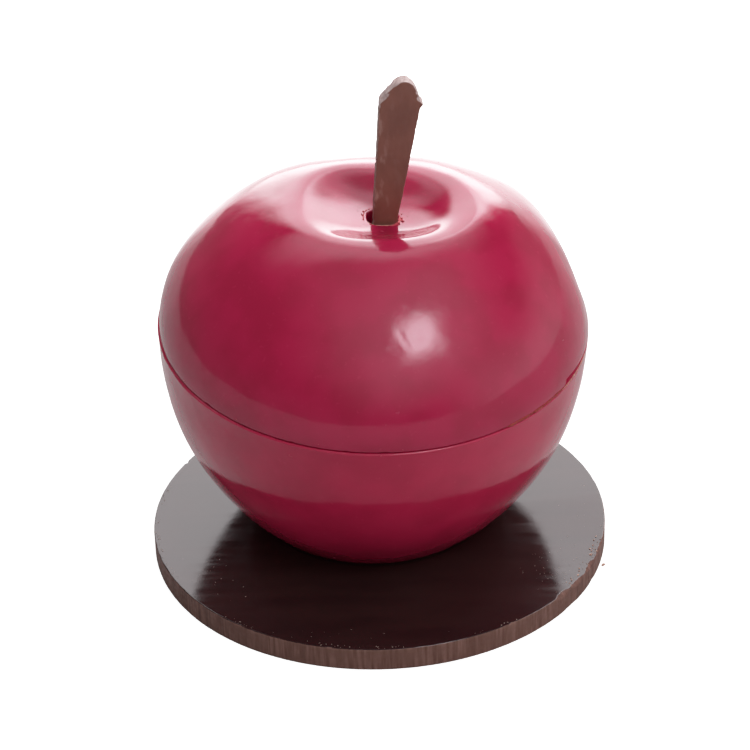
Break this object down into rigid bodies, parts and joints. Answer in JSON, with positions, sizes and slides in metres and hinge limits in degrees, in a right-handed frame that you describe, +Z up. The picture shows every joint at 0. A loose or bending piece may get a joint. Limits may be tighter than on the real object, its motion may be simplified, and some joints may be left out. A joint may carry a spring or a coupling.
{
  "type": "moulded chocolate apple",
  "caption": "Round chocolate apple moulded in two halves, with a dimpled top and a flat upright stem, standing on a thin round chocolate base.",
  "frame": {"origin": "middle of the round base's flat underside", "axes": "+Z up, -Y towards the front, where the seam is lowest and the stem shows its broad face"},
  "size_m": [0.074, 0.075, 0.0837],
  "materials": {
    "dark_chocolate": "glossy dark chocolate with a matt cut edge",
    "crimson_lower": "glossy crimson coloured chocolate",
    "crimson_upper": "glossy crimson coloured chocolate",
    "milk_chocolate": "satin milk chocolate, cut by hand"
  },
  "bodies": {
    "root": {"base_disc": "dark_chocolate", "lower_half": "crimson_lower", "upper_half": "crimson_upper", "stem": "milk_chocolate"}
  },
  "joints": []
}
